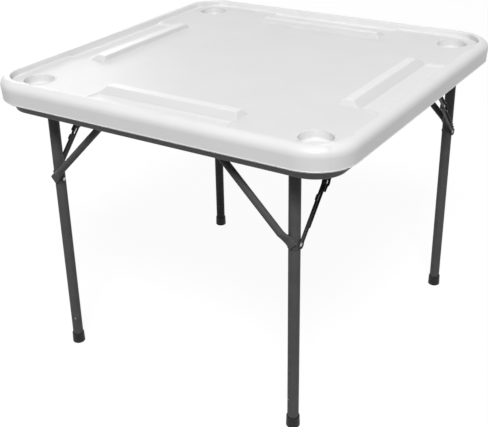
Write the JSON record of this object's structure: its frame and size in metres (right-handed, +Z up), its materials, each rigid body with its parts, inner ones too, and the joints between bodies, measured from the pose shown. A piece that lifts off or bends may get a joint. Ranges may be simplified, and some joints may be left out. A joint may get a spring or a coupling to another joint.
{
  "type": "folding card table",
  "caption": "Square folding card table: white moulded top with corner cup holders and edge trays, steel apron, folding tube legs with lock braces.",
  "frame": {"origin": "on the floor, under the middle of the table top", "axes": "+Z up; +X along the cross tubes of both leg frames; +Y from the narrow leg frame to the wide one"},
  "size_m": [0.89, 0.89, 0.708],
  "materials": {
    "top_plastic": "white blow-moulded polyethylene, fine satin grain",
    "apron_steel": "dark grey powder coat, satin",
    "frame_steel": "dark grey powder coat, satin",
    "link_steel": "near-black coat, satin",
    "black_plastic": "black moulded plastic, matt",
    "zinc_rivet": "zinc-plated steel, dull",
    "zinc_screw": "zinc-plated steel, dull"
  },
  "bodies": {
    "table_top": {"tabletop": "top_plastic", "apron": "apron_steel", "apron_screws": "zinc_screw", "bracket_screws": "zinc_screw", "narrow_left_pivot_bracket": "frame_steel", "narrow_left_lock_anchor": "frame_steel", "narrow_left_anchor_rivet": "zinc_rivet", "narrow_right_pivot_bracket": "frame_steel", "narrow_right_lock_anchor": "frame_steel", "narrow_right_anchor_rivet": "zinc_rivet", "wide_left_pivot_bracket": "frame_steel", "wide_left_lock_anchor": "frame_steel", "wide_left_anchor_rivet": "zinc_rivet", "wide_right_pivot_bracket": "frame_steel", "wide_right_lock_anchor": "frame_steel", "wide_right_anchor_rivet": "zinc_rivet"},
    "narrow_leg_frame": {"narrow_cross_tube": "frame_steel", "narrow_left_leg_tube": "frame_steel", "narrow_left_diagonal_brace": "frame_steel", "narrow_left_foot_cap": "black_plastic", "narrow_left_tube_plug": "black_plastic", "narrow_left_leg_rivet": "zinc_rivet", "narrow_right_leg_tube": "frame_steel", "narrow_right_diagonal_brace": "frame_steel", "narrow_right_foot_cap": "black_plastic", "narrow_right_tube_plug": "black_plastic", "narrow_right_leg_rivet": "zinc_rivet"},
    "wide_leg_frame": {"wide_cross_tube": "frame_steel", "wide_left_leg_tube": "frame_steel", "wide_left_diagonal_brace": "frame_steel", "wide_left_foot_cap": "black_plastic", "wide_left_tube_plug": "black_plastic", "wide_left_leg_rivet": "zinc_rivet", "wide_right_leg_tube": "frame_steel", "wide_right_diagonal_brace": "frame_steel", "wide_right_foot_cap": "black_plastic", "wide_right_tube_plug": "black_plastic", "wide_right_leg_rivet": "zinc_rivet"},
    "narrow_left_lower_strut": {"narrow_left_lower_link": "link_steel", "narrow_left_knee_rivet": "zinc_rivet"},
    "narrow_left_upper_strut": {"narrow_left_upper_link": "link_steel", "narrow_left_knee_rivet_head": "zinc_rivet"},
    "narrow_right_lower_strut": {"narrow_right_lower_link": "link_steel", "narrow_right_knee_rivet": "zinc_rivet"},
    "narrow_right_upper_strut": {"narrow_right_upper_link": "link_steel", "narrow_right_knee_rivet_head": "zinc_rivet"},
    "wide_left_lower_strut": {"wide_left_lower_link": "link_steel", "wide_left_knee_rivet": "zinc_rivet"},
    "wide_left_upper_strut": {"wide_left_upper_link": "link_steel", "wide_left_knee_rivet_head": "zinc_rivet"},
    "wide_right_lower_strut": {"wide_right_lower_link": "link_steel", "wide_right_knee_rivet": "zinc_rivet"},
    "wide_right_upper_strut": {"wide_right_upper_link": "link_steel", "wide_right_knee_rivet_head": "zinc_rivet"}
  },
  "joints": [
    {"name": "narrow_fold", "type": "hinge", "parent": "table_top", "child": "narrow_leg_frame", "pos_m": [0, -0.365, 0.658], "axis": [1, 0, 0], "range_deg": [0, 90]},
    {"name": "wide_fold", "type": "hinge", "parent": "table_top", "child": "wide_leg_frame", "pos_m": [0, 0.365, 0.658], "axis": [-1, 0, 0], "range_deg": [0, 90]},
    {"name": "narrow_left_upper_turn", "type": "hinge", "parent": "table_top", "child": "narrow_left_upper_strut", "pos_m": [-0.335, -0.168, 0.658], "axis": [1, 0, 0], "range_deg": [-43.5, 0]},
    {"name": "narrow_left_lower_turn", "type": "hinge", "parent": "narrow_leg_frame", "child": "narrow_left_lower_strut", "pos_m": [-0.3292, -0.365, 0.461], "axis": [1, 0, 0], "range_deg": [0, 43.5]},
    {"name": "narrow_right_upper_turn", "type": "hinge", "parent": "table_top", "child": "narrow_right_upper_strut", "pos_m": [0.335, -0.168, 0.658], "axis": [1, 0, 0], "range_deg": [-43.5, 0]},
    {"name": "narrow_right_lower_turn", "type": "hinge", "parent": "narrow_leg_frame", "child": "narrow_right_lower_strut", "pos_m": [0.3292, -0.365, 0.461], "axis": [1, 0, 0], "range_deg": [0, 43.5]},
    {"name": "wide_left_upper_turn", "type": "hinge", "parent": "table_top", "child": "wide_left_upper_strut", "pos_m": [-0.379, 0.168, 0.658], "axis": [-1, 0, 0], "range_deg": [-43.5, 0]},
    {"name": "wide_left_lower_turn", "type": "hinge", "parent": "wide_leg_frame", "child": "wide_left_lower_strut", "pos_m": [-0.3732, 0.365, 0.461], "axis": [-1, 0, 0], "range_deg": [0, 43.5]},
    {"name": "wide_right_upper_turn", "type": "hinge", "parent": "table_top", "child": "wide_right_upper_strut", "pos_m": [0.379, 0.168, 0.658], "axis": [-1, 0, 0], "range_deg": [-43.5, 0]},
    {"name": "wide_right_lower_turn", "type": "hinge", "parent": "wide_leg_frame", "child": "wide_right_lower_strut", "pos_m": [0.3732, 0.365, 0.461], "axis": [-1, 0, 0], "range_deg": [0, 43.5]}
  ],
  "couplings": [
    {"joint": "narrow_left_upper_turn", "follows": "narrow_fold", "ratio": -0.48333},
    {"joint": "narrow_left_lower_turn", "follows": "narrow_fold", "ratio": 0.48333},
    {"joint": "narrow_right_upper_turn", "follows": "narrow_fold", "ratio": -0.48333},
    {"joint": "narrow_right_lower_turn", "follows": "narrow_fold", "ratio": 0.48333},
    {"joint": "wide_left_upper_turn", "follows": "wide_fold", "ratio": -0.48333},
    {"joint": "wide_left_lower_turn", "follows": "wide_fold", "ratio": 0.48333},
    {"joint": "wide_right_upper_turn", "follows": "wide_fold", "ratio": -0.48333},
    {"joint": "wide_right_lower_turn", "follows": "wide_fold", "ratio": 0.48333}
  ]
}
